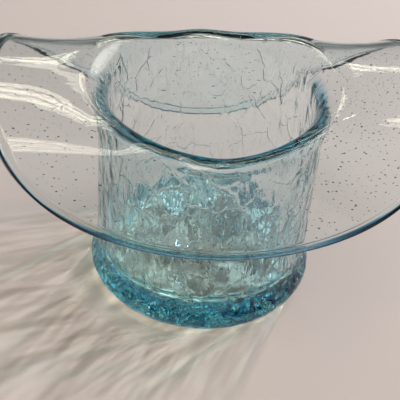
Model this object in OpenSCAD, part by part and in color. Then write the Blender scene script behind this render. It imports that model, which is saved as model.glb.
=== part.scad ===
// Top-hat vase of blown crackle glass, standing on its crown with the mouth up.
// +Z is up, +X runs along the hat from wing to wing, and the origin is under the
// middle of the foot, on the surface that the vase stands on. Sizes are in millimetres.

/* [Crown] */
// Outer diameter of the upright wall
crown_d = 76; // [60:0.5:110]
// Height at which the straight wall ends and the fold starts
crown_h = 71; // [55:0.5:110]
// Thickness of the upright wall
wall_t = 3; // [2.2:0.1:4.5]

/* [Base] */
// Thickness of the glass under the inner floor
floor_t = 9.5; // [8:0.1:14]
// Radius between the inner floor and the wall
floor_corner_r = 6; // [2:0.5:12]
// How far the heel stands out past the wall
heel_out = 2.5; // [1:0.1:4]
// Rounding of the heel
heel_r = 5; // [4:0.1:6]
// Hollow radius that leads from the heel into the wall
heel_blend_r = 10; // [6:0.5:16]
// Diameter of the push-up under the base
punt_d = 50; // [30:1:60]
// Depth of the push-up
punt_depth = 1.5; // [0.5:0.1:3]

/* [Fold] */
// Gap between the wall and the hanging flaps
flap_gap = 3.1; // [2:0.1:8]
// Fold radius at the corners, on the upper side
fold_corner_r = 8.4; // [6.5:0.1:14]
// Fold radius at the wings, on the upper side
fold_wing_r = 9.3; // [7.5:0.1:20]

/* [Brim] */
// Thickness of the sheet at its edge
brim_t = 2.6; // [1.8:0.1:3.4]
// How much thicker than the sheet the bead around the edge is
bead_swell = 0.6; // [0.2:0.1:2]
// How far the wing tips reach past the wall
wing_reach = 36.5; // [28:0.5:60]
// How far the corners of the edge reach past the wall, along the hat
corner_reach = 21; // [14:0.5:32]
// How far the corners stand out past the flaps, across the hat
corner_out = 0.3; // [-2:0.1:6]
// How far the wing tips rise above the end of the wall
tip_rise = 13; // [4:0.5:24]
// How far the corners of the edge drop below the end of the wall
corner_drop = 7; // [2:0.5:18]
// How far the flaps drop below the end of the wall
flap_drop = 33.5; // [20:0.1:45]
// How much lower the corners lie at the +X end, each from the mean
corner_sway = 1.5; // [-3:0.1:3]

/* [Smoothness] */
// Directions around the brim
n_dir = 96; // [48:8:120]
// Steps around the fold
n_fold = 8; // [5:1:10]
// Steps across the sheet
n_sheet = 10; // [6:1:12]
// Steps around the bead
n_bead = 8; // [5:1:10]

/* [Hidden] */
$fn = 96;

crown_r = crown_d / 2;
bore_r = crown_r - wall_t;
heel_c = crown_r + heel_out - heel_r;
blend_c = crown_r + heel_blend_r;
blend_z = heel_r + sqrt(pow(heel_r + heel_blend_r, 2) - pow(blend_c - heel_c, 2));
punt_r = punt_d / 2;
// Sphere of which the push-up is the cap
punt_ball_r = (pow(punt_r, 2) + pow(punt_depth, 2)) / (2 * punt_depth);

// Fold radius at the flaps, on the upper side, with the flaps hanging upright
fold_flap_r = (wall_t + flap_gap + brim_t) / 2;
tip_x = crown_r + wing_reach;
corner_x = crown_r + corner_reach;
flap_y = crown_r + flap_gap + brim_t;
corner_y = flap_y + corner_out;
tip_z = crown_h + tip_rise;
corner_z = crown_h - corner_drop;
flap_z = crown_h - flap_drop;

bead_r = (brim_t + bead_swell) / 2;
// The bead's centre lies this far outside the end of the sheet
bead_c = sqrt(pow(bead_r, 2) - pow(brim_t / 2, 2));
bead_reach = bead_c + bead_r;

deep_glass = [0.33, 0.70, 0.80, 0.7];
crackle_glass = [0.62, 0.82, 0.86, 0.6];
thin_glass = [0.78, 0.88, 0.89, 0.5];

// Even wave around the hat through its values at the wings, corners and flaps
function even_wave(wing, corner, flap, a) =
    let (mean = (wing + flap) / 2, fourth = (mean - corner) / 2)
    mean - fourth + (wing - flap) / 2 * cos(2 * a) + fourth * cos(4 * a);

// Wave that changes sign from end to end, through its values at the +X wing and corner
function end_wave(wing, corner, a) =
    let (first = (wing + corner * sqrt(2)) / 2)
    first * cos(a) + (wing - first) * cos(3 * a);

// Wave that changes sign from side to side, through its values at the +Y flap and corner
function side_wave(flap, corner, a) =
    let (first = (flap + corner * sqrt(2)) / 2)
    first * sin(a) + (first - flap) * sin(3 * a);

// Outermost line of the brim in direction a
function edge_point(a) = [
    end_wave(tip_x, corner_x, a),
    side_wave(flap_y, corner_y, a),
    even_wave(tip_z, corner_z, flap_z, a) - end_wave(0, corner_sway, a)
];

// Section of the upper side in direction a, in the upright plane that holds the wall's end and
// the edge: [fold radius, plan direction, angle at which the sheet leaves the fold, sheet length]
function section_at(a) =
    let (
        start = bore_r * [cos(a), sin(a)],
        edge = edge_point(a),
        run = [edge.x, edge.y] - start,
        r = even_wave(fold_wing_r, fold_corner_r, fold_flap_r, a),
        to_edge = [norm(run) - r, edge.z - crown_h],
        leave = atan2(to_edge.y, to_edge.x) + acos(r / max(norm(to_edge), r)),
        sheet = sqrt(max(pow(norm(to_edge), 2) - pow(r, 2), 0)) - bead_reach
    )
    [r, run / norm(run), leave, sheet];

// Turn of the fold at step u: 0 at the wall, 1 where the sheet leaves it, up to 2 at the bead
function turn_at(s, u) = 180 - (180 - s[2]) * min(u, 1);

function upper_point(a, u) =
    let (
        s = section_at(a),
        turn = turn_at(s, u),
        along = max(u - 1, 0) * s[3],
        out = s[0] * (1 + cos(turn)) + along * sin(turn),
        up = s[0] * sin(turn) - along * cos(turn)
    )
    [bore_r * cos(a) + out * s[1].x, bore_r * sin(a) + out * s[1].y, crown_h + up];

// Direction of the sheet from the wall towards the edge
function sheet_way(a, u) =
    let (s = section_at(a), turn = turn_at(s, u))
    [sin(turn) * s[1].x, sin(turn) * s[1].y, -cos(turn)];

// Normal of the upper side
function sheet_normal(a, u) =
    let (
        half_step = 0.05,
        around = upper_point(a + half_step, u) - upper_point(a - half_step, u),
        n = cross(sheet_way(a, u), around)
    )
    n / norm(n);

function sheet_t(u) = wall_t + (brim_t - wall_t) * u / 2;

function lower_point(a, u) = upper_point(a, u) - sheet_t(u) * sheet_normal(a, u);

// Closed section through the sheet from step u0 to step u1
function sheet_section(a, u0, u1, steps) = concat(
    [for (i = [0:steps]) upper_point(a, u0 + (u1 - u0) * i / steps)],
    [for (i = [steps:-1:0]) lower_point(a, u0 + (u1 - u0) * i / steps)]
);

// Closed section through the bead, from the upper to the lower edge of the sheet
function bead_section(a) =
    let (
        way = sheet_way(a, 2),
        n = sheet_normal(a, 2),
        centre = upper_point(a, 2) - brim_t / 2 * n + bead_c * way,
        open = atan2(brim_t / 2, -bead_c)
    )
    [for (i = [0:n_bead])
        let (turn = open - 2 * open * i / n_bead)
        centre + bead_r * (cos(turn) * way + sin(turn) * n)];

// Solid ring from closed sections, one for each direction. The strip that closes the sections is
// split along its other diagonal, so that it matches the neighbour's strip.
module ring_solid(sections) {
    count = len(sections);
    side = len(sections[0]);
    polyhedron(
        points = [for (s = sections) each s],
        faces = [for (i = [0:count - 1], j = [0:side - 1])
            let (
                i2 = (i + 1) % count,
                j2 = (j + 1) % side,
                p00 = i * side + j,
                p10 = i2 * side + j,
                p11 = i2 * side + j2,
                p01 = i * side + j2
            )
            each (j2 == 0
                ? [[p00, p01, p10], [p10, p01, p11]]
                : [[p00, p11, p10], [p00, p01, p11]])]
    );
}

function directions() = [for (i = [0:n_dir - 1]) 360 * i / n_dir];

// Half outline of the glass below the fold, without the inside
module outer_half() {
    square([heel_c, heel_r]);
    translate([0, heel_r]) square([crown_r, crown_h - heel_r]);
    translate([heel_c, heel_r]) circle(heel_r);
    difference() {
        polygon([[heel_c, heel_r], [blend_c, blend_z], [heel_c, blend_z]]);
        translate([blend_c, blend_z]) circle(heel_blend_r);
    }
}

// Half outline of the inside, down to the inner floor
module inner_half() {
    round_c = bore_r - floor_corner_r;
    round_z = floor_t + floor_corner_r;
    translate([0, floor_t]) square([round_c, crown_h]);
    translate([0, round_z]) square([bore_r, crown_h]);
    translate([round_c, round_z]) circle(floor_corner_r);
}

// Thick bottom with the rounded heel, the flat foot ring and the push-up
module base() {
    color(deep_glass) difference() {
        rotate_extrude() intersection() {
            outer_half();
            square([2 * crown_r, floor_t]);
        }
        translate([0, 0, punt_depth - punt_ball_r]) sphere(punt_ball_r);
    }
}

// Upright crackled wall with its root on the base
module crown() {
    color(crackle_glass) rotate_extrude() difference() {
        intersection() {
            outer_half();
            translate([0, floor_t]) square([2 * crown_r, crown_h - floor_t]);
        }
        inner_half();
    }
}

// Mouth fold that turns the wall over
module collar() {
    color(thin_glass) ring_solid([for (a = directions()) sheet_section(a, 0, 1, n_fold)]);
}

// Thin sheet with its flaps and wings
module brim() {
    color(thin_glass) ring_solid([for (a = directions()) sheet_section(a, 1, 2, n_sheet)]);
}

// Fire-polished bead around the edge
module rim() {
    color(thin_glass) ring_solid([for (a = directions()) bead_section(a)]);
}

base();
crown();
collar();
brim();
rim();
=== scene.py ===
"""Looks of the glass hat: a blown body of aqua glass with a crackled crown, seeds in its brim,
healed cracks in its base, and a stage."""

import math
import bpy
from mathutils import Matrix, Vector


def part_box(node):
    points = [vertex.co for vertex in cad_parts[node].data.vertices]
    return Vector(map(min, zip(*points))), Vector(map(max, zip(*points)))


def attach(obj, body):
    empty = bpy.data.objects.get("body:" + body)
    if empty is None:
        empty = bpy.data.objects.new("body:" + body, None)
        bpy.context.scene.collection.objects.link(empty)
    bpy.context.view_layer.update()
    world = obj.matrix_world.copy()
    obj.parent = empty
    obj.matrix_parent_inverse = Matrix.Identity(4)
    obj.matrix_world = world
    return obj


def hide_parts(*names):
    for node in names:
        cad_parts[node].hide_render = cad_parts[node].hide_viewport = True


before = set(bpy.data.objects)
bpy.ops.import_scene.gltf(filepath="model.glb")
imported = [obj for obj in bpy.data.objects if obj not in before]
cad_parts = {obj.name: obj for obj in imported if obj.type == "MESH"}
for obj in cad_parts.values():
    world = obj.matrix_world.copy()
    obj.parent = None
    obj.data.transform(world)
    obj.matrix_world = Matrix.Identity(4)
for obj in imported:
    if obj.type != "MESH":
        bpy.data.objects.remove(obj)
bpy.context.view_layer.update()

from types import SimpleNamespace

import bpy
import numpy as np
from bpy.props import FloatProperty, FloatVectorProperty, IntProperty, PointerProperty
from mathutils import Matrix, Vector

bl_info = {
    "name": "Glass hat",
    "version": (1, 0, 0),
    "blender": (4, 5, 0),
    "location": "View3D > Sidebar > Glass hat",
    "description": "Builds a crackle-glass top-hat vase around its packed solids",
    "category": "Object",
}

MM = 0.001
BODY = "root"
BASE_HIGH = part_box("base")[1]
CROWN_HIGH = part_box("crown")[1]
RIM_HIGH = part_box("rim")[1]
# How far the heel stands out past the wall
HEEL_OUT = 2.5 * MM


def length(name, description, default):
    """Property that holds a length in metres."""
    return FloatProperty(name=name, description=description, default=default, unit="LENGTH", precision=5)


class HatShape(bpy.types.PropertyGroup):
    """Sizes of the glass body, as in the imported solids."""

    heel_radius: length("Heel radius", "Largest radius of the base", BASE_HIGH.x)
    crown_radius: length("Crown radius", "Outer radius of the upright wall", BASE_HIGH.x - HEEL_OUT)
    floor_height: length("Floor height", "Height of the inner floor", BASE_HIGH.z)
    wall_top: length("Wall top", "Height at which the fold starts", CROWN_HIGH.z)
    wall: length("Wall", "Thickness of the upright wall", 3 * MM)
    floor_corner: length("Floor corner", "Radius between inner floor and wall", 6 * MM)
    heel_round: length("Heel rounding", "Radius of the heel's round", 5 * MM)
    heel_blend: length("Heel blend", "Hollow radius from heel to wall", 10 * MM)
    punt_radius: length("Push-up radius", "Radius of the push-up under the base", 25 * MM)
    punt_depth: length("Push-up depth", "Depth of the push-up", 1.5 * MM)
    flap_gap: length("Flap gap", "Gap between the wall and the hanging flaps", 3.1 * MM)
    fold_corner: length("Corner fold", "Fold radius at the corners", 8.4 * MM)
    fold_wing: length("Wing fold", "Fold radius at the wings", 9.3 * MM)
    sheet: length("Sheet", "Thickness of the brim at its edge", 2.6 * MM)
    bead_swell: length("Bead swell", "How much thicker than the sheet the bead is", 0.6 * MM)
    tip_x: length("Tip reach", "Distance of the wing tips from the axis", RIM_HIGH.x)
    corner_reach: length("Corner reach", "Reach of the edge's corners past the wall", 21 * MM)
    corner_out: length("Corner stand-out", "How far the corners stand out past the flaps", 0.3 * MM)
    tip_rise: length("Tip rise", "Height of the wing tips above the wall's end", 13 * MM)
    corner_drop: length("Corner drop", "Depth of the corners below the wall's end", 7 * MM)
    flap_drop: length("Flap drop", "Depth of the flaps below the wall's end", 33.5 * MM)
    corner_sway: length("Corner sway", "How much lower the corners lie at the +X end", 1.5 * MM)
    directions: IntProperty(name="Directions", description="Mesh directions around the hat", default=340)


class CrackleLook(bpy.types.PropertyGroup):
    """Relief of the glass: healed cracks, chips and waves."""

    cell: length("Cell", "Usual width of a crackle plate", 8.5 * MM)
    chip: length("Chip", "Usual width of a small chip in the glass", 2.2 * MM)
    groove_width: length("Groove width", "Half width of a healed crack", 0.8 * MM)
    groove_depth: length("Groove depth", "Depth of a healed crack", 0.05 * MM)
    line_width: length("Line width", "Half width of the fine line in a crack", 0.35 * MM)
    line_depth: length("Line depth", "Depth of the fine line in a crack", 0.12 * MM)
    dome: length("Dome", "How far a plate stands out in its middle", 0.12 * MM)
    tilt: length("Tilt", "Rise of a plate over one cell", 0.45 * MM)
    chip_tilt: length("Chip tilt", "Rise of a chip on the wall over its width", 0.05 * MM)
    heel_chip_tilt: length("Heel chip tilt", "Rise of a chip in the heel over its width", 0.5 * MM)
    floor_tilt: length("Floor tilt", "Rise of a plate in the base over one cell", 0.35 * MM)
    grain: length("Grain", "Height of the fine upright waves in the wall", 0.3 * MM)
    swell: length("Swell", "Height of the slow waves in the wall", 0.5 * MM)
    flute: length("Flute", "Height of the short upright waves in the wall", 0.9 * MM)
    ripple: length("Ripple", "Height of the slow ripples all over the glass", 0.1 * MM)
    streak: length("Streak", "Height of the drawn streaks all over the glass", 0.012 * MM)
    wander: FloatProperty(name="Wander", description="How far the cracks stray, in cells", default=0.5)


class SeedLook(bpy.types.PropertyGroup):
    """Small bubbles in the glass of the brim."""

    density: FloatProperty(name="Density", description="Seeds for each square metre", default=280000.0)
    short: length("Shortest", "Half length of the smallest seed", 0.15 * MM)
    long: length("Longest", "Half length of the largest seed", 0.52 * MM)
    seed: IntProperty(name="Random seed", description="Fixes where the seeds lie", default=7)


class FissureLook(bpy.types.PropertyGroup):
    """Healed cracks that lie inside the thick base."""

    heel_density: FloatProperty(
        name="Heel density", description="Cracks for each square metre of the heel", default=120000.0
    )
    floor_density: FloatProperty(
        name="Floor density", description="Cracks for each square metre under the floor", default=40000.0
    )
    heel_size: length("Heel size", "Largest half width of a crack in the heel", 1.6 * MM)
    floor_size: length("Floor size", "Largest half width of a crack under the floor", 3.2 * MM)
    seed: IntProperty(name="Random seed", description="Fixes where the cracks lie", default=3)


class GlassLook(bpy.types.PropertyGroup):
    """Glass and how it takes up light."""

    ior: FloatProperty(name="IOR", description="Index of refraction of soda glass", default=1.51)
    tint: FloatVectorProperty(
        name="Tint",
        description="Colour that deep glass tends to",
        subtype="COLOR",
        default=(0.02, 0.77, 0.905),
    )
    tint_density: FloatProperty(name="Tint density", description="Absorption for each metre", default=25.0)


class StageLook(bpy.types.PropertyGroup):
    """Floor and camera."""

    floor_colour: FloatVectorProperty(
        name="Floor", description="Colour of the floor", subtype="COLOR", default=(0.585, 0.522, 0.486)
    )
    view_azimuth: FloatProperty(
        name="View azimuth",
        description="Turn of the view to the right",
        subtype="ANGLE",
        default=math.radians(-8.37),
    )
    view_elevation: FloatProperty(
        name="View elevation", description="View from above", subtype="ANGLE", default=math.radians(39.09)
    )
    view_roll: FloatProperty(
        name="View roll", description="Tilt of the picture", subtype="ANGLE", default=math.radians(4.69)
    )
    view_distance: length("View distance", "Distance of the camera from its target", 400 * MM)
    view_right: length("View right", "Target's shift to the right of the origin", -1.3 * MM)
    view_up: length("View up", "Target's shift up the picture from the origin", 21.55 * MM)
    lens: FloatProperty(name="Lens", description="Focal length in millimetres", default=94.7)


class HatSettings(bpy.types.PropertyGroup):
    """All settings of the hat."""

    shape: PointerProperty(type=HatShape)
    crackle: PointerProperty(type=CrackleLook)
    seeds: PointerProperty(type=SeedLook)
    fissures: PointerProperty(type=FissureLook)
    glass: PointerProperty(type=GlassLook)
    stage: PointerProperty(type=StageLook)


def settings():
    """Settings of the open scene."""
    return bpy.context.scene.glass_hat


def even_wave(wing, corner, flap, a):
    """Wave around the hat through its values at the wings, corners and flaps."""
    mean = (wing + flap) / 2
    fourth = (mean - corner) / 2
    return mean - fourth + (wing - flap) / 2 * np.cos(2 * a) + fourth * np.cos(4 * a)


def end_wave(wing, corner, a):
    """Wave that changes sign from end to end of the hat."""
    first = (wing + corner * math.sqrt(2)) / 2
    return first * np.cos(a) + (wing - first) * np.cos(3 * a)


def side_wave(flap, corner, a):
    """Wave that changes sign from side to side of the hat."""
    first = (flap + corner * math.sqrt(2)) / 2
    return first * np.sin(a) + (first - flap) * np.sin(3 * a)


def wing_share(a):
    """How much a direction belongs to the wings: 0 at the flaps, 1 from the corners to the tips."""
    return np.clip(3 * np.abs(np.cos(a)) - 1, 0, 1)


def front_share(a):
    """How much a direction belongs to the front: half at the tips, 0 a little behind them."""
    return np.clip(0.5 - 2 * np.sin(a), 0, 1)


def outer_share(turn):
    """How much a turn of the bead belongs to its outer side: 0 at the sheet, 1 along the edge."""
    return min(max(3 * math.cos(turn) - 0.3, 0), 1)


def circle(radius, height, a):
    """Level ring of points around the axis."""
    return np.stack([radius * np.cos(a), radius * np.sin(a), np.full_like(a, height)], -1)


# Power that makes the bead squarer at the wings, where 1 is round
FLATNESS = 0.4


class BrimSurface:
    """Upper side of the collar and brim.

    Step u is 0 at the wall, 1 where the sheet leaves the fold, and 2 at the bead."""

    def __init__(self, shape):
        self.shape = shape
        self.bore = shape.crown_radius - shape.wall
        self.bead_radius = (shape.sheet + shape.bead_swell) / 2
        self.bead_centre = math.sqrt(self.bead_radius**2 - (shape.sheet / 2) ** 2)

    def edge(self, a):
        """Outermost line of the brim."""
        s = self.shape
        flap_y = s.crown_radius + s.flap_gap + s.sheet
        x = end_wave(s.tip_x, s.crown_radius + s.corner_reach, a)
        y = side_wave(flap_y, flap_y + s.corner_out, a)
        rise = even_wave(s.tip_rise, -s.corner_drop, -s.flap_drop, a)
        z = s.wall_top + rise - end_wave(0, s.corner_sway, a)
        return np.stack([x, y, z], -1)

    def section(self, a):
        """Start, plan direction, fold radius, leaving angle and sheet length in each direction."""
        s = self.shape
        start = self.bore * np.stack([np.cos(a), np.sin(a)], -1)
        edge = self.edge(a)
        run = edge[..., :2] - start
        span = np.linalg.norm(run, axis=-1)
        fold_flap = (s.wall + s.flap_gap + s.sheet) / 2
        radius = even_wave(s.fold_wing, s.fold_corner, fold_flap, a)
        out, up = span - radius, edge[..., 2] - s.wall_top
        reach = np.hypot(out, up)
        leave = np.arctan2(up, out) + np.arccos(radius / np.maximum(reach, radius))
        sheet = np.sqrt(np.maximum(reach**2 - radius**2, 0)) - self.bead_centre - self.bead_radius
        return start, run / span[..., None], radius, leave, sheet

    def turn(self, leave, u):
        """Angle around the fold."""
        return math.pi - (math.pi - leave) * np.minimum(u, 1)

    def upper(self, a, u):
        """Point on the upper side."""
        start, way, radius, leave, sheet = self.section(a)
        turn = self.turn(leave, u)
        along = np.maximum(u - 1, 0) * sheet
        out = radius * (1 + np.cos(turn)) + along * np.sin(turn)
        up = self.shape.wall_top + radius * np.sin(turn) - along * np.cos(turn)
        return np.concatenate([start + way * out[..., None], up[..., None]], -1)

    def way(self, a, u):
        """Direction of the sheet from the wall to the edge."""
        _, way, _, leave, _ = self.section(a)
        turn = self.turn(leave, u)
        return np.concatenate([way * np.sin(turn)[..., None], -np.cos(turn)[..., None]], -1)

    def normal(self, a, u):
        """Normal of the upper side."""
        step = 1e-4
        n = np.cross(self.way(a, u), self.upper(a + step, u) - self.upper(a - step, u))
        return n / np.linalg.norm(n, axis=-1, keepdims=True)

    def inside(self, a, u, share):
        """Point at a share of the thickness below the upper side."""
        thickness = self.shape.wall + (self.shape.sheet - self.shape.wall) * u / 2
        return self.upper(a, u) - (share * thickness)[..., None] * self.normal(a, u)

    def bead(self, a, turn):
        """Point on the bead; turn runs from the lower to the upper edge of the sheet."""
        last = np.full_like(a, 2.0)
        way, normal = self.way(a, last), self.normal(a, last)
        centre = self.upper(a, last) - self.shape.sheet / 2 * normal + self.bead_centre * way
        out, up = np.full_like(a, math.cos(turn)), np.full_like(a, math.sin(turn))
        if math.cos(turn) > 0:
            power = 1 - (1 - FLATNESS) * wing_share(a)
            out, up = out**power, np.copysign(np.abs(up) ** power, up)
        return centre + self.bead_radius * (out[..., None] * way + up[..., None] * normal)


# Rings of the mesh along each stretch of the body, with the rings at both of its ends
RINGS = {
    "punt": 8,
    "foot": 5,
    "heel": 14,
    "blend": 9,
    "wall": 88,
    "under_fold": 13,
    "sheet": 19,
    "bead": 25,
    "fold": 17,
    "well": 25,
    "corner": 9,
    "floor": 9,
}
# Share of crackle on the heel, and how fast it comes in from the foot, for each radian
HEEL_CRACKLE = 0.3
HEEL_FADE = 1.2
# Painted shade on the bead, dark that stands in for light trapped there: all around, more at the front,
# more at the wings' front
BEAD_SHADE = 0.1
FRONT_SHADE = 0.5
WING_SHADE = 2.2
# Painted shade on the fold at the front, the step at which it is deepest, and how many steps it spreads
FOLD_SHADE = 0.95
FOLD_DEEPEST = 0.3
FOLD_SPREAD = 0.3


def body_rows(shape):
    """Rings of the closed body from the middle of the underside to the middle of the inner floor.

    Each ring comes with its share of crackle and of painted shade, dark that stands in for light trapped in
    the bead and the fold."""
    brim = BrimSurface(shape)
    a = np.linspace(0, 2 * math.pi, shape.directions, endpoint=False)
    heel_c = shape.heel_radius - shape.heel_round
    blend_c = shape.crown_radius + shape.heel_blend
    blend_z = shape.heel_round + math.sqrt(
        (shape.heel_round + shape.heel_blend) ** 2 - (blend_c - heel_c) ** 2
    )
    lean = math.atan2(blend_z - shape.heel_round, blend_c - heel_c)
    ball = (shape.punt_radius**2 + shape.punt_depth**2) / (2 * shape.punt_depth)
    corner_c = brim.bore - shape.floor_corner
    corner_z = shape.floor_height + shape.floor_corner
    rows, crackle, painted_shade = [], [], []

    # Adds a ring with its share of crackle and its painted shade, given as edge
    def free(points, share=0.0, edge=0.0):
        rows.append(points)
        crackle.append(np.full_like(a, share))
        painted_shade.append(edge + np.zeros_like(a))

    def ring(radius, height, share=0.0):
        free(circle(radius, height, a), share)

    for r in np.linspace(0, shape.punt_radius, RINGS["punt"])[1:]:
        ring(r, shape.punt_depth - ball + math.sqrt(ball**2 - r**2))
    for r in np.linspace(shape.punt_radius, heel_c, RINGS["foot"])[1:]:
        ring(r, 0.0)
    for t in np.linspace(-math.pi / 2, lean, RINGS["heel"])[1:]:
        share = HEEL_CRACKLE * min(max(0, HEEL_FADE * (t + math.pi / 2)), 1)
        ring(heel_c + shape.heel_round * math.cos(t), shape.heel_round * (1 + math.sin(t)), share)
    for t in np.linspace(math.pi + lean, math.pi, RINGS["blend"])[1:]:
        share = 1 - (1 - HEEL_CRACKLE) * (t - math.pi) / lean
        ring(blend_c + shape.heel_blend * math.cos(t), blend_z + shape.heel_blend * math.sin(t), share)
    for z in np.linspace(blend_z, shape.wall_top, RINGS["wall"])[1:]:
        ring(shape.crown_radius, z, 1.0)
    for u in np.linspace(0, 1, RINGS["under_fold"])[1:]:
        free(brim.inside(a, np.full_like(a, u), 1.0), (1 - u) ** 2)
    for u in np.linspace(1, 2, RINGS["sheet"])[1:]:
        free(brim.inside(a, np.full_like(a, u), 1.0))
    open_turn = math.atan2(shape.sheet / 2, -brim.bead_centre)
    front = front_share(a)
    # Painted shade along the bead's outer side, darker at the front and at the wings' front
    bead_shade = BEAD_SHADE + (FRONT_SHADE + WING_SHADE * wing_share(a)) * front
    for turn in np.linspace(-open_turn, open_turn, RINGS["bead"])[1:-1]:
        free(brim.bead(a, turn), edge=bead_shade * outer_share(turn))
    for u in np.linspace(2, 1, RINGS["sheet"]):
        free(brim.upper(a, np.full_like(a, u)))
    for u in np.linspace(1, 0, RINGS["fold"])[1:]:
        share = max(1 - abs(u - FOLD_DEEPEST) / FOLD_SPREAD, 0)
        # Painted shade on the fold at the front
        free(brim.upper(a, np.full_like(a, u)), edge=FOLD_SHADE * front * share)
    for z in np.linspace(shape.wall_top, corner_z, RINGS["well"])[1:]:
        ring(brim.bore, z)
    for t in np.linspace(0, -math.pi / 2, RINGS["corner"])[1:]:
        ring(corner_c + shape.floor_corner * math.cos(t), corner_z + shape.floor_corner * math.sin(t))
    for r in np.linspace(corner_c, 0, RINGS["floor"])[1:-1]:
        ring(r, shape.floor_height)
    return rows, {"crackle": crackle, "painted_shade": painted_shade}


def carry(mesh, shares):
    """Puts the named shares on a mesh's points."""
    for name, values in shares.items():
        flat = np.concatenate(values).astype(np.float32)
        mesh.attributes.new(name, "FLOAT", "POINT").data.foreach_set("value", flat)


def closed_body_mesh(name, rows, shares, bottom, top):
    """Mesh of stacked rings with a pole at each end, with the named shares on its points."""
    count = len(rows[0])
    points = np.concatenate([[bottom], *rows, [top]])
    last = len(points) - 1
    i = np.arange(count)
    j = np.roll(i, -1)
    faces = [(0, 1 + q, 1 + p) for p, q in zip(i, j)]
    for row in range(len(rows) - 1):
        low, high = 1 + row * count, 1 + (row + 1) * count
        faces += zip(low + i, low + j, high + j, high + i)
    tail = 1 + (len(rows) - 1) * count
    faces += [(last, tail + p, tail + q) for p, q in zip(i, j)]
    mesh = bpy.data.meshes.new(name)
    mesh.from_pydata(points.tolist(), [], [[int(v) for v in f] for f in faces])
    carry(mesh, {key: [[0], *values, [0]] for key, values in shares.items()})
    mesh.shade_smooth()
    mesh.update()
    return mesh


def guide_mesh(name, strips, shares):
    """Mesh of open strips of rings to scatter on, with the named shares on its points."""
    points, faces = [], []
    for rings in strips:
        for k, ring in enumerate(rings):
            low, count = len(points), len(ring)
            points += ring.tolist()
            if k:
                faces += [
                    (low - count + i, low - count + (i + 1) % count, low + (i + 1) % count, low + i)
                    for i in range(count)
                ]
    mesh = bpy.data.meshes.new(name)
    mesh.from_pydata(points, [], faces)
    carry(mesh, shares)
    return mesh


class Net:
    """Adds nodes to one tree, and links what is given as a socket."""

    def __init__(self, tree):
        self.tree = tree

    def link(self, source, target):
        self.tree.links.new(source, target)

    def feed(self, socket, value):
        if isinstance(value, bpy.types.NodeSocket):
            self.link(value, socket)
        elif value is not None:
            socket.default_value = value

    def node(self, kind, settings=None, inputs=None):
        node = self.tree.nodes.new(kind)
        for key, value in (settings or {}).items():
            setattr(node, key, value)
        for key, value in (inputs or {}).items():
            self.feed(node.inputs[key], value)
        return node

    def math(self, operation, a, b=None, c=None):
        node = self.node("ShaderNodeMath", {"operation": operation})
        for socket, value in zip(node.inputs, (a, b, c)):
            self.feed(socket, value)
        return node.outputs[0]

    def vector(self, operation, a, b=None, c=None):
        node = self.node("ShaderNodeVectorMath", {"operation": operation})
        if operation == "SCALE":
            self.feed(node.inputs["Scale"], b)
            b = None
        for socket, value in zip(node.inputs, (a, b, c)):
            self.feed(socket, value)
        return node.outputs["Value" if operation in ("DOT_PRODUCT", "LENGTH") else "Vector"]

    def xyz(self, x, y, z):
        return self.node("ShaderNodeCombineXYZ", inputs={0: x, 1: y, 2: z}).outputs[0]

    def mix(self, share, a, b):
        """Value between two, by a share of the second."""
        return self.node("ShaderNodeMix", inputs={0: share, 2: a, 3: b}).outputs[0]

    def step(self, value, low, high, to_low=0.0, to_high=1.0):
        """Smooth step from one value to another."""
        inputs = {"Value": value, "From Min": low, "From Max": high, "To Min": to_low, "To Max": to_high}
        return self.node("ShaderNodeMapRange", {"interpolation_type": "SMOOTHSTEP"}, inputs).outputs[0]

    def fall(self, value, low, high, top=1.0):
        """Smooth step down to 0."""
        return self.step(value, low, high, top, 0.0)

    def noise(self, place, scale, detail=2.0, roughness=0.5):
        inputs = {"Vector": place, "Scale": scale, "Detail": detail, "Roughness": roughness}
        return self.node("ShaderNodeTexNoise", inputs=inputs).outputs

    def waves(self, place, per_metre, detail=2.0, roughness=0.5):
        """Noise with its own scale along each axis."""
        return self.noise(self.vector("MULTIPLY", place, per_metre), 1.0, detail, roughness)["Fac"]

    def patches(self, place, scale, low, high, top=1.0):
        """Soft patches by chance."""
        return self.step(self.noise(place, scale)["Fac"], low, high, 0.0, top)

    def cells(self, place, feature):
        """Voronoi cells of one unit."""
        inputs = {"Vector": place, "Scale": 1.0}
        return self.node("ShaderNodeTexVoronoi", {"feature": feature}, inputs).outputs

    def carried(self, name):
        """Share that the points carry, in a material."""
        return self.node("ShaderNodeAttribute", {"attribute_name": name}).outputs["Fac"]

    def named(self, name):
        """Share that the points carry, in a geometry tree."""
        node = self.node("GeometryNodeInputNamedAttribute", {"data_type": "FLOAT"}, {"Name": name})
        return node.outputs["Attribute"]


# Middle of a colour or noise by chance
HALF = (0.5, 0.5, 0.5)
# Scale of plates along Z next to that along X and Y: less than 1 makes them tall
PLATE_TALL = 0.75
# Scale, detail and roughness of the noise by which plates stray
PLATE_STRAY = (1.3, 3.0, 0.6)
# Shifts that set the plates of the cracks, the chips and the base apart, in cells
CRACK_SHIFT = (0.0, 0.0, 0.0)
CHIP_SHIFT = (3.7, 1.9, 5.3)
SLAB_SHIFT = (1.1, 6.3, 2.7)


def plates(net, place, cell, wander, shift):
    """Strayed plates: edge distance in cells, height of a plate tilted by chance, middle distance."""
    scale = (1 / cell, 1 / cell, PLATE_TALL / cell)
    scaled = net.vector("MULTIPLY_ADD", place, scale, shift)
    stray = net.vector("SUBTRACT", net.noise(scaled, *PLATE_STRAY)["Color"], HALF)
    strayed = net.vector("MULTIPLY_ADD", stray, (wander, wander, wander), scaled)
    edge = net.cells(strayed, "DISTANCE_TO_EDGE")["Distance"]
    near = net.cells(strayed, "F1")
    tilt = net.vector("SUBTRACT", near["Color"], HALF)
    reach = net.vector("SUBTRACT", strayed, near["Position"])
    return edge, net.vector("DOT_PRODUCT", tilt, reach), near["Distance"]


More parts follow.
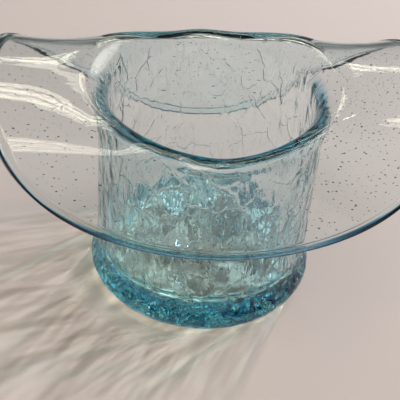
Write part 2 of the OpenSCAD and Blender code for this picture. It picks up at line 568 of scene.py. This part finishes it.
def tone(net, place, per_metre):
    """One tone by chance for each strayed cell."""
    scaled = net.vector("SCALE", place, per_metre)
    stray = net.vector("SUBTRACT", net.noise(scaled, 1.0)["Color"], HALF)
    colour = net.cells(net.vector("ADD", scaled, stray), "F1")["Color"]
    return net.node("ShaderNodeSeparateXYZ", inputs={0: colour}).outputs["X"]


def geometry_tree(name, inputs):
    """New tree with the named inputs: its net, its incoming sockets, and its values by identifier."""
    tree = bpy.data.node_groups.new(name, "GeometryNodeTree")
    tree.interface.new_socket("Geometry", in_out="INPUT", socket_type="NodeSocketGeometry")
    values = {}
    for label, value in inputs.items():
        kind = "NodeSocketInt" if isinstance(value, int) else "NodeSocketFloat"
        socket = tree.interface.new_socket(label, in_out="INPUT", socket_type=kind)
        values[socket.identifier] = value
    tree.interface.new_socket("Geometry", in_out="OUTPUT", socket_type="NodeSocketGeometry")
    net = Net(tree)
    return net, net.node("NodeGroupInput").outputs, values


def end_tree(net, geometry, material, smooth=False):
    """Ends a tree with real geometry in one material."""
    last = net.node("GeometryNodeRealizeInstances", inputs={"Geometry": geometry})
    if smooth:
        last = net.node("GeometryNodeSetShadeSmooth", inputs={"Geometry": last.outputs[0]})
    dress = net.node("GeometryNodeSetMaterial", inputs={"Geometry": last.outputs[0], "Material": material})
    net.link(dress.outputs[0], net.node("NodeGroupOutput").inputs[0])


def chance(net, seed, low, high, salt):
    """Number or vector by chance for each scattered point; salt keeps one draw apart from another."""
    kind, first, result = ("FLOAT_VECTOR", 0, 0) if isinstance(low, tuple) else ("FLOAT", 2, 1)
    node = net.node("FunctionNodeRandomValue", {"data_type": kind}, {first: low, first + 1: high})
    net.link(net.math("ADD", seed, salt), node.inputs["Seed"])
    return node.outputs[result]


def scattered(net, given, crowd):
    """What comes out of a scatter of points by chance over the incoming faces."""
    return net.node(
        "GeometryNodeDistributePointsOnFaces",
        {"distribute_method": "RANDOM"},
        {"Mesh": given["Geometry"], "Density": crowd, "Seed": given["Seed"]},
    ).outputs


def copies(net, points, shape, rotation, scale):
    """One copy of a shape on each point."""
    inputs = {"Points": points, "Instance": shape.outputs["Mesh"], "Rotation": rotation, "Scale": scale}
    return net.node("GeometryNodeInstanceOnPoints", inputs=inputs).outputs[0]


# Distance from a plate's middle at which its dome ends, in cells
DOME_END = 0.8
# Slow waves for each cell, and short waves for each metre, with the stretch that makes these upright
SWELL_WAVES = 0.55
FLUTE_WAVES = 230.0
FLUTE_STRETCH = (1.0, 1.0, 0.3)


def crackle_tree(look, material):
    """Geometry tree that swells plates and sinks healed cracks into the points that carry crackle."""
    net, given, values = geometry_tree(
        "Crackle",
        {
            "Groove depth": look.groove_depth,
            "Dome": look.dome,
            "Tilt": look.tilt,
            "Swell": look.swell,
            "Flute": look.flute,
        },
    )
    place = net.node("GeometryNodeInputPosition").outputs[0]
    normal = net.node("GeometryNodeInputNormal").outputs[0]
    edge, lean, middle = plates(net, place, look.cell, look.wander, CRACK_SHIFT)
    line = net.step(edge, 0.0, look.groove_width / look.cell, -1.0, 0.0)
    sunk = net.math("MULTIPLY", line, given["Groove depth"])
    domed = net.math("MULTIPLY_ADD", net.fall(middle, 0.0, DOME_END), given["Dome"], sunk)
    raised = net.math("MULTIPLY_ADD", lean, given["Tilt"], domed)
    slow = net.math("SUBTRACT", net.noise(place, SWELL_WAVES / look.cell, 1.0)["Fac"], 0.5)
    upright = net.vector("MULTIPLY", place, FLUTE_STRETCH)
    quick = net.math("SUBTRACT", net.noise(upright, FLUTE_WAVES, 1.0)["Fac"], 0.5)
    waved = net.math("MULTIPLY_ADD", slow, given["Swell"], raised)
    fluted = net.math("MULTIPLY_ADD", quick, given["Flute"], waved)
    offset = net.vector("SCALE", normal, net.math("MULTIPLY", fluted, net.named("crackle")))
    moved = net.node("GeometryNodeSetPosition", inputs={"Geometry": given["Geometry"], "Offset": offset})
    end_tree(net, moved.outputs[0], material)
    return net.tree, values


# Widths of seeds as shares of their length, and their turns about the sheet's normal
SEED_WIDTHS = (0.25, 0.55)
SEED_TURNS = (-0.6, 0.6)


def seed_tree(look, material):
    """Geometry tree that scatters drawn-out bubbles over a sheet."""
    net, given, values = geometry_tree(
        "Seeds", {"Density": look.density, "Shortest": look.short, "Longest": look.long, "Seed": look.seed}
    )
    seed = given["Seed"]
    points = scattered(net, given, net.math("MULTIPLY", net.named("seeded"), given["Density"]))
    bubble = net.node("GeometryNodeMeshIcoSphere", inputs={"Radius": 1.0, "Subdivisions": 1})
    rare = net.math("POWER", chance(net, seed, 0.0, 1.0, 1.0), 2.0)
    reach = net.math("SUBTRACT", given["Longest"], given["Shortest"])
    size = net.math("MULTIPLY_ADD", rare, reach, given["Shortest"])
    across = net.math("MULTIPLY", size, chance(net, seed, *SEED_WIDTHS, 2.0))
    spin = net.xyz(0.0, 0.0, chance(net, seed, *SEED_TURNS, 3.0))
    turned = net.node(
        "FunctionNodeRotateRotation",
        {"rotation_space": "LOCAL"},
        {"Rotation": points["Rotation"], "Rotate By": spin},
    )
    scale = net.xyz(size, across, across)
    seeds = copies(net, points["Points"], bubble, turned.outputs[0], scale)
    end_tree(net, seeds, material, smooth=True)
    return net.tree, values


# Corners of a gap, and its height in half widths
GAP_CORNERS = 6
GAP_HEIGHT = 0.15
# Sizes of gaps as shares of the largest one, and widths across as shares of the size
GAP_SIZES = (0.35, 1.0)
GAP_WIDTHS = (0.4, 1.0)
# Turns about X, Y and Z, up to about a full turn
GAP_TURNS = ((0.0, 0.0, 0.0), (6.283, 6.283, 6.283))


def fissure_tree(look, material):
    """Geometry tree that scatters flat, broken gaps of air, turned by chance, over a guide sheet."""
    net, given, values = geometry_tree("Fissures", {"Seed": look.seed})
    seed = given["Seed"]
    points = scattered(net, given, net.named("crowd"))
    gap = net.node(
        "GeometryNodeMeshCone",
        inputs={"Vertices": GAP_CORNERS, "Radius Top": 0.0, "Radius Bottom": 1.0, "Depth": GAP_HEIGHT},
    )
    size = net.math("MULTIPLY", net.named("size"), chance(net, seed, *GAP_SIZES, 1.0))
    across = net.math("MULTIPLY", size, chance(net, seed, *GAP_WIDTHS, 2.0))
    turned = chance(net, seed, *GAP_TURNS, 3.0)
    gaps = copies(net, points["Points"], gap, turned, net.xyz(size, across, size))
    end_tree(net, gaps, material)
    return net.tree, values


def grown_piece(name, mesh, tree, values):
    """Object at the origin whose mesh is what the tree makes of the given one."""
    piece = bpy.data.objects.new(name, mesh)
    bpy.context.scene.collection.objects.link(piece)
    modifier = piece.modifiers.new(tree.name, "NODES")
    modifier.node_group = tree
    for identifier, value in values.items():
        modifier[identifier] = value
    bpy.context.view_layer.update()
    result = bpy.data.meshes.new_from_object(piece.evaluated_get(bpy.context.evaluated_depsgraph_get()))
    piece.modifiers.remove(modifier)
    piece.data = result
    result.name = name
    bpy.data.meshes.remove(mesh)
    if not result.polygons:
        raise RuntimeError(f"{name} came out empty")
    return piece


# Radii between which the heel begins, and heights between which it ends
HEEL_RADII = (30 * MM, 35 * MM)
HEEL_HEIGHTS = (9 * MM, 14 * MM)


def glass_spot(net):
    """Sockets that tell where on the glass a point lies, and what it carries there."""
    place = net.node("ShaderNodeTexCoord").outputs["Object"]
    parts = net.node("ShaderNodeSeparateXYZ", inputs={0: place}).outputs
    far = net.vector("LENGTH", net.vector("MULTIPLY", place, (1.0, 1.0, 0.0)))
    heel = net.math("MULTIPLY", net.fall(parts["Z"], *HEEL_HEIGHTS), net.step(far, *HEEL_RADII))
    return SimpleNamespace(
        place=place,
        x=parts["X"],
        y=parts["Y"],
        rise=parts["Z"],
        far=far,
        heel=heel,
        crackle=net.carried("crackle"),
        painted_shade=net.carried("painted_shade"),
    )


# Waves for each metre along X, Y and Z
GRAIN_WAVES = (330.0, 330.0, 70.0)
STREAK_WAVES = (20.0, 320.0, 160.0)
LENS_WAVES = (260.0, 260.0, 30.0)
# Detail and roughness of the grain and the lenses
FINE = (3.0, 0.6)
# Ripples for each metre
RIPPLE_WAVES = 55.0
# Patches in which lines show: how many for each metre, and the noise between which they come in
LINE_PATCHES = (70.0, 0.36, 0.52)
# Heights between which the plates in the base end
SLAB_HEIGHTS = (11 * MM, 15 * MM)


def glass_relief(net, spot, crackle, grain):
    """Height of the fine relief: lines, chips and grain on the wall, plates and chips in the base."""
    edge, _, _ = plates(net, spot.place, crackle.cell, crackle.wander, CRACK_SHIFT)
    _, chip, _ = plates(net, spot.place, crackle.chip, crackle.wander, CHIP_SHIFT)
    _, slab, _ = plates(net, spot.place, crackle.cell, crackle.wander, SLAB_SHIFT)
    line = net.step(edge, 0.0, crackle.line_width / crackle.cell, -1.0, 0.0)
    broken = net.math("MULTIPLY", line, net.patches(spot.place, *LINE_PATCHES))
    lined = net.math("MULTIPLY", broken, crackle.line_depth)
    chipped = net.math("MULTIPLY_ADD", chip, crackle.chip_tilt, lined)
    wall = net.math("MULTIPLY_ADD", grain, crackle.grain, chipped)
    heel = net.math("MULTIPLY", chip, net.math("MULTIPLY", spot.heel, crackle.heel_chip_tilt))
    slab_tilt = net.fall(spot.rise, *SLAB_HEIGHTS, crackle.floor_tilt)
    base = net.math("MULTIPLY_ADD", slab, slab_tilt, heel)
    ripple = net.math("MULTIPLY", net.noise(spot.place, RIPPLE_WAVES)["Fac"], crackle.ripple)
    drawn = net.math("MULTIPLY_ADD", net.waves(spot.place, STREAK_WAVES), crackle.streak, ripple)
    return net.math("ADD", net.math("MULTIPLY_ADD", wall, spot.crackle, drawn), base)


WHITE = (1.0, 1.0, 1.0)
# Colour of the surface where its painted shade and depth tint add up to 1, and the change of colour in the
# heel
DEPTH_AND_SHADE_COLOUR = (0.02, 0.15, 0.3)
HEEL_CHANGE = (-0.44, -0.02, 0.0)
# Painted shade in dark flecks in the heel: cells for each metre, their flatness, and the tones between
# which they end
FLECK_CELLS = 480.0
FLECK_STRETCH = (1.0, 1.0, 1.8)
FLECK_TONES = (0.25, 0.38)
# Places along the hat between which the flecks' painted shade grows, and its strength at each
FLECK_SHADE_SIDES = (-10 * MM, 30 * MM, 0.5, 1.8)
# Dark of the thick base, and heights between which it ends
THICK_DARK = 0.1
THICK_HEIGHTS = (8 * MM, 13 * MM)
# Painted shade in dark strokes in the wall: how far from the grain's middle they end, their patches, and
# their dark
STROKE_WIDTHS = (0.006, 0.028)
STROKE_PATCHES = (45.0, 0.46, 0.62)
STROKE_SHADE = 0.85
# Places across the hat between which the painted strokes get weaker towards the back, and their strength at
# each
STROKE_SIDES = (2 * MM, 22 * MM, 1.0, 0.3)
# Painted shade between which the edge goes black, and how black it is at each
BLACK_EDGE_SHADE = (0.7, 1.9, 0.0, 0.94)


def glass_colour(net, spot, grain):
    """Colour of the surface: painted shade where light is trapped in the bead and the fold, painted shade
    in flecks in the heel and strokes in the wall, and a darker tint in the thick base.
    """
    squat = net.vector("MULTIPLY", spot.place, FLECK_STRETCH)
    amount = net.math("MULTIPLY", net.step(spot.x, *FLECK_SHADE_SIDES), spot.heel)
    # Painted shade: dark flecks in the heel, stronger towards +X
    shaded_flecks = net.math("MULTIPLY", net.fall(tone(net, squat, FLECK_CELLS), *FLECK_TONES), amount)
    inner = net.math("SUBTRACT", 1.0, spot.heel)
    thick = net.math("MULTIPLY", net.fall(spot.rise, *THICK_HEIGHTS, THICK_DARK), inner)
    # Painted shade of the bead, the fold and the flecks, added to the thick base's tint
    depth_and_shade = net.math("ADD", net.math("MAXIMUM", shaded_flecks, spot.painted_shade), thick)
    tinted = net.xyz(*(net.math("POWER", part, depth_and_shade) for part in DEPTH_AND_SHADE_COLOUR))
    turquoise = net.vector("MULTIPLY", tinted, net.vector("MULTIPLY_ADD", spot.heel, HEEL_CHANGE, WHITE))
    ridge = net.math("ABSOLUTE", net.math("SUBTRACT", grain, 0.5))
    gathered = net.patches(spot.place, *STROKE_PATCHES, STROKE_SHADE)
    fewer = net.math("MULTIPLY", gathered, net.step(spot.y, *STROKE_SIDES))
    drawn = net.math("MULTIPLY", net.fall(ridge, *STROKE_WIDTHS), fewer)
    # Painted shade: dark strokes along the grain in the crackled wall, weaker at the back
    shaded_strokes = net.math("MULTIPLY", drawn, spot.crackle)
    # Painted shade: the strokes, and black along the bead's edge
    shade_marks = net.math("MAXIMUM", shaded_strokes, net.step(spot.painted_shade, *BLACK_EDGE_SHADE))
    return net.vector("SCALE", turquoise, net.math("SUBTRACT", 1.0, shade_marks))


# Colour of light that passes the glass, and its brightness where there is no crackle
PASSED_COLOUR = (1.06, 1.005, 0.962)
WALL_LIGHT = 0.985
# Noise between which a crackled wall dims and brightens the light, and what it adds at each
LENS_LIGHT = (0.38, 0.62, -0.85, 0.75)
# Tones between which the light under the base changes, and the light at each
SPARKLE_LIGHT = (0.35, 0.95, 0.5, 4.2)
CALM_LIGHT = (0.2, 0.95, 0.4, 1.8)
# Cells of light for each metre, and radii between which calm light turns to sparkle
SPARKLE_CELLS = 330.0
CALM_CELLS = 140.0
SPARKLE_RADII = (27 * MM, 31 * MM)
# Radii between which the push-up ends, and the height below which glass is underside at each
UNDERSIDE = (25 * MM, 26 * MM, 2.2 * MM, 0.15 * MM)
# Shares of that height between which the underside ends
UNDERSIDE_END = (0.7, 1.0)
# Bright line around the foot: radii between which it begins, heights between which it ends, its light
BRINK_RADII = (36.5 * MM, 38 * MM)
BRINK_HEIGHTS = (1.2 * MM, 2.2 * MM)
BRINK_LIGHT = (0.45, 0.33, 0.28)


def passed_light(net, spot):
    """Colour of the lamplight behind the glass: streaked by the wall, and gathered under the foot."""
    lens = net.step(net.waves(spot.place, LENS_WAVES, *FINE), *LENS_LIGHT)
    streaked = net.math("MULTIPLY_ADD", lens, spot.crackle, WALL_LIGHT)
    sparkle = net.step(tone(net, spot.place, SPARKLE_CELLS), *SPARKLE_LIGHT)
    calm = net.step(tone(net, spot.place, CALM_CELLS), *CALM_LIGHT)
    under = net.mix(net.step(spot.far, *SPARKLE_RADII), calm, sparkle)
    underside = net.step(spot.far, *UNDERSIDE)
    foot = net.fall(net.math("DIVIDE", spot.rise, underside), *UNDERSIDE_END)
    passed = net.vector("SCALE", PASSED_COLOUR, net.mix(foot, streaked, under))
    brink = net.math("MULTIPLY", net.step(spot.far, *BRINK_RADII), net.fall(spot.rise, *BRINK_HEIGHTS))
    return net.vector("MULTIPLY", passed, net.vector("MULTIPLY_ADD", brink, BRINK_LIGHT, WHITE))


def lamps_pass(net, surface, colour=None):
    """Shader that shows a surface to the eye, and lets lamps shine straight through it."""
    through = net.node("ShaderNodeBsdfTransparent", inputs={"Color": colour})
    shadow = net.node("ShaderNodeLightPath").outputs["Is Shadow Ray"]
    both = net.node("ShaderNodeMixShader", inputs={0: shadow, 1: surface.outputs[0], 2: through.outputs[0]})
    return both.outputs[0]


def aqua_glass(glass, crackle):
    """Blown glass: clear at the surface but for painted shade, tinted in depth, rippled, and finely cracked
    on the crown.

    Lamps shine straight through it, and a pattern brightens and dims their light."""
    material = bpy.data.materials.new("aqua_glass")
    material.use_nodes = True
    material.node_tree.nodes.clear()
    net = Net(material.node_tree)
    spot = glass_spot(net)
    grain = net.waves(spot.place, GRAIN_WAVES, *FINE)
    height = glass_relief(net, spot, crackle, grain)
    bump = net.node("ShaderNodeBump", inputs={"Strength": 1.0, "Distance": 1.0, "Height": height})
    surface = net.node(
        "ShaderNodeBsdfPrincipled",
        inputs={
            "Base Color": glass_colour(net, spot, grain),
            "IOR": glass.ior,
            "Transmission Weight": 1.0,
            "Roughness": 0.0,
            "Normal": bump.outputs[0],
        },
    )
    depth = net.node(
        "ShaderNodeVolumeAbsorption", inputs={"Color": (*glass.tint, 1), "Density": glass.tint_density}
    )
    out = net.node("ShaderNodeOutputMaterial")
    net.link(lamps_pass(net, surface, passed_light(net, spot)), out.inputs["Surface"])
    net.link(depth.outputs[0], out.inputs["Volume"])
    return material


def trapped_air(name, glass, colour):
    """Air in a gap, as seen from inside the glass, in a colour that can paint shade on it."""
    material = bpy.data.materials.new(name)
    material.use_nodes = True
    net = Net(material.node_tree)
    surface = material.node_tree.nodes["Principled BSDF"]
    surface.inputs["Base Color"].default_value = colour
    surface.inputs["IOR"].default_value = 1 / glass.ior
    surface.inputs["Transmission Weight"].default_value = 1.0
    surface.inputs["Roughness"].default_value = 0.0
    net.link(lamps_pass(net, surface), material.node_tree.nodes["Material Output"].inputs["Surface"])
    return material


class OBJECT_OT_hat_body(bpy.types.Operator):
    """Build the blown body with its crackled crown"""

    bl_idname = "object.hat_body"
    bl_label = "Glass body"

    def execute(self, context):
        hat = settings()
        shape = hat.shape
        rows, shares = body_rows(shape)
        bottom, top = (0, 0, shape.punt_depth), (0, 0, shape.floor_height)
        mesh = closed_body_mesh("hat_glass", rows, shares, bottom, top)
        tree, values = crackle_tree(hat.crackle, aqua_glass(hat.glass, hat.crackle))
        body = grown_piece("hat_glass", mesh, tree, values)
        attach(body, BODY)
        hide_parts("base", "crown", "collar", "brim", "rim")
        return {"FINISHED"}


# Directions around the sheet of seeds, and its first step, last step and number of steps
SEED_DIRECTIONS = 120
SEED_STEPS = (0.6, 1.95, 15)
# Share of seeds at the left end, what the right end has more, and the power by which that comes in
SEEDS_LEFT = 0.55
SEEDS_MORE = 0.45
SEEDS_POWER = 1.5
# Colour of the seeds' air: painted shade, grey that stands in for the dark look a bubble gets from what it
# bends and reflects
SEED_SHADE = (0.25, 0.26, 0.26, 1)


class OBJECT_OT_hat_seeds(bpy.types.Operator):
    """Scatter the small bubbles in the brim"""

    bl_idname = "object.hat_seeds"
    bl_label = "Seeds in the brim"

    def execute(self, context):
        hat = settings()
        a = np.linspace(0, 2 * math.pi, SEED_DIRECTIONS + 1)[:-1]
        grid_a, grid_u = np.meshgrid(a, np.linspace(*SEED_STEPS), indexing="ij")
        points = BrimSurface(hat.shape).inside(grid_a, grid_u, share=0.5)
        right = 0.5 + 0.5 * np.cos(grid_a.T)
        shares = {"seeded": SEEDS_LEFT + SEEDS_MORE * right**SEEDS_POWER}
        mesh = guide_mesh("seed_sheet", [points.swapaxes(0, 1)], shares)
        tree, values = seed_tree(hat.seeds, trapped_air("bubble_air", hat.glass, SEED_SHADE))
        seeds = grown_piece("seeds", mesh, tree, values)
        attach(seeds, BODY)
        return {"FINISHED"}


# Depths under the heel's surface at which cracks lie
CRACK_DEPTHS = (1.4 * MM, 2.8 * MM)
# First angle, last angle and number of angles around the heel's round
CRACK_ANGLES = (-0.9, 1.9, 7)
# Height of the cracks under the floor, as a share of the floor's height
CRACK_HEIGHT = 0.58
# Where these start and end: a radius, and a share of the radius to the middle of the heel's round
CRACK_START = 1 * MM
CRACK_END = 0.75
CRACK_DIRECTIONS = 96
CRACK_AIR = (1, 1, 1, 1)


class OBJECT_OT_hat_fissures(bpy.types.Operator):
    """Scatter the healed cracks inside the base"""

    bl_idname = "object.hat_fissures"
    bl_label = "Cracks in the base"

    def execute(self, context):
        hat = settings()
        look, shape = hat.fissures, hat.shape
        heel_c, heel_z = shape.heel_radius - shape.heel_round, shape.heel_round
        guides = []
        for depth in CRACK_DEPTHS:
            r = shape.heel_round - depth
            angles = np.linspace(*CRACK_ANGLES)
            outline = [(heel_c + r * math.cos(t), heel_z + r * math.sin(t)) for t in angles]
            guides.append((outline, look.heel_density, look.heel_size))
        middle = CRACK_HEIGHT * shape.floor_height
        under = [(CRACK_END * heel_c, middle), (CRACK_START, middle)]
        guides.append((under, look.floor_density, look.floor_size))
        a = np.linspace(0, 2 * math.pi, CRACK_DIRECTIONS, endpoint=False)
        strips = [[circle(radius, height, a) for radius, height in outline] for outline, _, _ in guides]
        shares = {
            "crowd": [np.full(len(outline) * len(a), density) for outline, density, _ in guides],
            "size": [np.full(len(outline) * len(a), half) for outline, _, half in guides],
        }
        mesh = guide_mesh("fissure_guide", strips, shares)
        tree, values = fissure_tree(look, trapped_air("crack_air", hat.glass, CRACK_AIR))
        fissures = grown_piece("fissures", mesh, tree, values)
        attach(fissures, BODY)
        return {"FINISHED"}


def add_lamp(name, width, height, power, colour, place):
    """Rectangular lamp, with its place and turn in a matrix."""
    lamp = bpy.data.lights.new(name, "AREA")
    lamp.shape = "RECTANGLE"
    lamp.size, lamp.size_y = width, height
    lamp.energy = power
    lamp.color = colour
    holder = bpy.data.objects.new(name, lamp)
    bpy.context.scene.collection.objects.link(holder)
    holder.matrix_world = place
    return holder


# Name of each key lamp, its azimuth in degrees from the back to the right, and its power in watts
KEYS = (("key_back", 30, 4.0), ("key_mid", 52, 4.9), ("key_right", 78, 4.0))
# Distance of the keys from the point they shine at, their elevation in degrees, and that point's height
KEY_DISTANCE = 1.2
KEY_ELEVATION = 43
KEY_TARGET = 0.05
KEY_WIDTH = 0.04
KEY_COLOUR = (0.92, 0.92, 1.0)


def add_key(name, azimuth, power):
    """Small lamp that shines at the hat and isn't seen in reflections."""
    a, e = math.radians(azimuth), math.radians(KEY_ELEVATION)
    way = Vector((math.sin(a) * math.cos(e), math.cos(a) * math.cos(e), math.sin(e)))
    place = Matrix.Translation(Vector((0, 0, KEY_TARGET)) + KEY_DISTANCE * way)
    turn = way.to_track_quat("Z", "Y").to_matrix().to_4x4()
    lamp = add_lamp(name, KEY_WIDTH, KEY_WIDTH, power, KEY_COLOUR, place @ turn)
    lamp.visible_glossy = False


# Name of each fixture, its start and end in plan in heights of the ceiling, its width and radiance
FIXTURES = (
    ("far_tube", (0.05, 2.1), (0.3, 1.45), 0.15, 3.5),
    ("mid_tube", (0.14, 1.12), (-0.2, 0.62), 0.13, 4.4),
    ("near_tube", (0.27, 0.43), (-0.55, -1.2), 0.12, 4.2),
)
CEILING = 1.1
TUBES = 3
# Width of a tube as a share of its fixture's width
TUBE_SHARE = 0.36
TUBE_COLOUR = (1.0, 0.91, 0.73)


def add_fixture(name, start, end, width, radiance):
    """Row of parallel tubes under the ceiling."""
    start, end = CEILING * Vector(start), CEILING * Vector(end)
    run = end - start
    across = Vector((-run.y, run.x)).normalized()
    turn = Matrix.Rotation(math.atan2(run.y, run.x), 4, "Z")
    tube_width = TUBE_SHARE * width
    power = radiance * math.pi * run.length * tube_width
    for i in range(TUBES):
        middle = (start + end) / 2 + across * width * (i / (TUBES - 1) - 0.5)
        place = Matrix.Translation((*middle, CEILING)) @ turn
        add_lamp(f"{name}_{i}", run.length, tube_width, power, TUBE_COLOUR, place)


# Half width of the floor, and how far it lies below the glass so that their faces don't coincide
FLOOR_HALF = 2.5
FLOOR_DROP = 0.2 * MM
# Distances between which the floor darkens far from the hat, painted shade, and the brightness at each
FLOOR_SHADE_END = (0.28, 0.7, 1.0, 0.2)


def pale_floor(colour):
    """Smooth pale floor, with painted shade that darkens it far from the hat."""
    material = bpy.data.materials.new("pale_floor")
    material.use_nodes = True
    net = Net(material.node_tree)
    surface = material.node_tree.nodes["Principled BSDF"]
    surface.inputs["Roughness"].default_value = 0.9
    surface.inputs["Specular IOR Level"].default_value = 0.1
    place = net.node("ShaderNodeTexCoord").outputs["Object"]
    # Painted shade: the floor darkens far from the hat
    share = net.step(net.vector("LENGTH", place), *FLOOR_SHADE_END)
    net.link(net.vector("SCALE", colour, share), surface.inputs["Base Color"])
    return material


def add_floor(colour):
    """Level square under the hat."""
    half, level = FLOOR_HALF, -FLOOR_DROP
    corners = [(-half, -half, level), (half, -half, level), (half, half, level), (-half, half, level)]
    mesh = bpy.data.meshes.new("floor")
    mesh.from_pydata(corners, [], [(0, 1, 2, 3)])
    mesh.materials.append(pale_floor(colour))
    floor = bpy.data.objects.new("floor", mesh)
    bpy.context.scene.collection.objects.link(floor)
    return floor


def add_camera(stage):
    """Camera at the photograph's angle."""
    azimuth, elevation, roll = stage.view_azimuth, stage.view_elevation, stage.view_roll
    back = Vector(
        (
            math.sin(azimuth) * math.cos(elevation),
            -math.cos(azimuth) * math.cos(elevation),
            math.sin(elevation),
        )
    )
    right = Vector((math.cos(azimuth), math.sin(azimuth), 0))
    up = back.cross(right)
    target = stage.view_right * right + stage.view_up * up
    place = target + stage.view_distance * back
    level = Matrix((right, up, back)).transposed()
    turn = Matrix.Rotation(roll, 3, "Z")
    camera = bpy.data.objects.new("camera", bpy.data.cameras.new("camera"))
    camera.data.lens = stage.lens
    camera.data.sensor_width = 36.0
    bpy.context.scene.collection.objects.link(camera)
    camera.matrix_world = Matrix.Translation(place) @ (level @ turn).to_4x4()
    bpy.context.scene.camera = camera


# Directions in the room, cosines to them between which light changes, and the light or share at each
CEILING_WAY = (0.0, -0.55, 0.835)
CEILING_LIGHT = (0.5, 0.95, 0.02, 0.42)
WINDOW_WAY = (0.66, 0.61, 0.43)
WINDOW_LIGHT = (0.94, 0.98, 0.0, 2.6)
CORNER_WAY = (-0.68, 0.5, 0.54)
CORNER_LIGHT = (0.5, 0.95, 1.0, 0.05)
BACK_WAY = (0.0, 1.0, 0.0)
BACK_SHARE = (0.6, 0.9)
# Heights of the view's direction between which the back wall ends, and the wall's light
BACK_END = (0.05, 0.4, 0.25)
ROOM_COLOUR = (1.0, 0.98, 0.9)


def room_light():
    """World with a ceiling that is bright above the viewer, a window at the back right, a grey wall
    low at the back, and a dark corner at the back left."""
    world = bpy.data.worlds.new("room")
    bpy.context.scene.world = world
    world.use_nodes = True
    world.node_tree.nodes.clear()
    net = Net(world.node_tree)
    way = net.node("ShaderNodeTexCoord").outputs["Generated"]
    height = net.node("ShaderNodeSeparateXYZ", inputs={0: way}).outputs["Z"]

    def towards(direction, change):
        return net.step(net.vector("DOT_PRODUCT", way, direction), *change)

    ceiling = towards(CEILING_WAY, CEILING_LIGHT)
    window = towards(WINDOW_WAY, WINDOW_LIGHT)
    corner = towards(CORNER_WAY, CORNER_LIGHT)
    wall = net.math("MULTIPLY", towards(BACK_WAY, BACK_SHARE), net.fall(height, *BACK_END))
    light = net.math("MULTIPLY_ADD", net.math("ADD", ceiling, window), corner, wall)
    colour = net.vector("MULTIPLY", light, ROOM_COLOUR)
    sky = net.node("ShaderNodeBackground", inputs={"Color": colour, "Strength": 1.0})
    net.link(sky.outputs[0], net.node("ShaderNodeOutputWorld").inputs["Surface"])


class OBJECT_OT_hat_stage(bpy.types.Operator):
    """Set the floor, the light and the camera"""

    bl_idname = "object.hat_stage"
    bl_label = "Stage"

    def execute(self, context):
        stage = settings().stage
        floor = add_floor(stage.floor_colour)
        for key in KEYS:
            add_key(*key)
        for fixture in FIXTURES:
            add_fixture(*fixture)
        room_light()
        add_camera(stage)
        cycles = context.scene.cycles
        cycles.caustics_refractive = False
        cycles.caustics_reflective = False
        cycles.transparent_max_bounces = 24
        cycles.max_bounces = 20
        cycles.transmission_bounces = 20
        cycles.glossy_bounces = 8
        context.scene.view_settings.view_transform = "Standard"
        return {"FINISHED"}


class VIEW3D_PT_glass_hat(bpy.types.Panel):
    """Sidebar panel with the hat's pieces and sizes"""

    bl_idname = "VIEW3D_PT_glass_hat"
    bl_label = "Glass hat"
    bl_space_type = "VIEW_3D"
    bl_region_type = "UI"
    bl_category = "Glass hat"

    def draw(self, context):
        hat = settings()
        for operator in PIECE_OPERATORS:
            self.layout.operator(operator.bl_idname)
        for group in (hat.shape, hat.crackle, hat.seeds, hat.fissures, hat.glass, hat.stage):
            box = self.layout.box()
            for name in group.__annotations__:
                box.prop(group, name)


PIECE_OPERATORS = (OBJECT_OT_hat_body, OBJECT_OT_hat_seeds, OBJECT_OT_hat_fissures, OBJECT_OT_hat_stage)
CLASSES = (
    HatShape,
    CrackleLook,
    SeedLook,
    FissureLook,
    GlassLook,
    StageLook,
    HatSettings,
    *PIECE_OPERATORS,
    VIEW3D_PT_glass_hat,
)


def register():
    for cls in CLASSES:
        bpy.utils.register_class(cls)
    bpy.types.Scene.glass_hat = PointerProperty(type=HatSettings)


def unregister():
    del bpy.types.Scene.glass_hat
    for cls in reversed(CLASSES):
        bpy.utils.unregister_class(cls)


def main():
    register()
    bpy.ops.object.hat_body()
    bpy.ops.object.hat_seeds()
    bpy.ops.object.hat_fissures()
    bpy.ops.object.hat_stage()


if __name__ == "__main__":
    main()
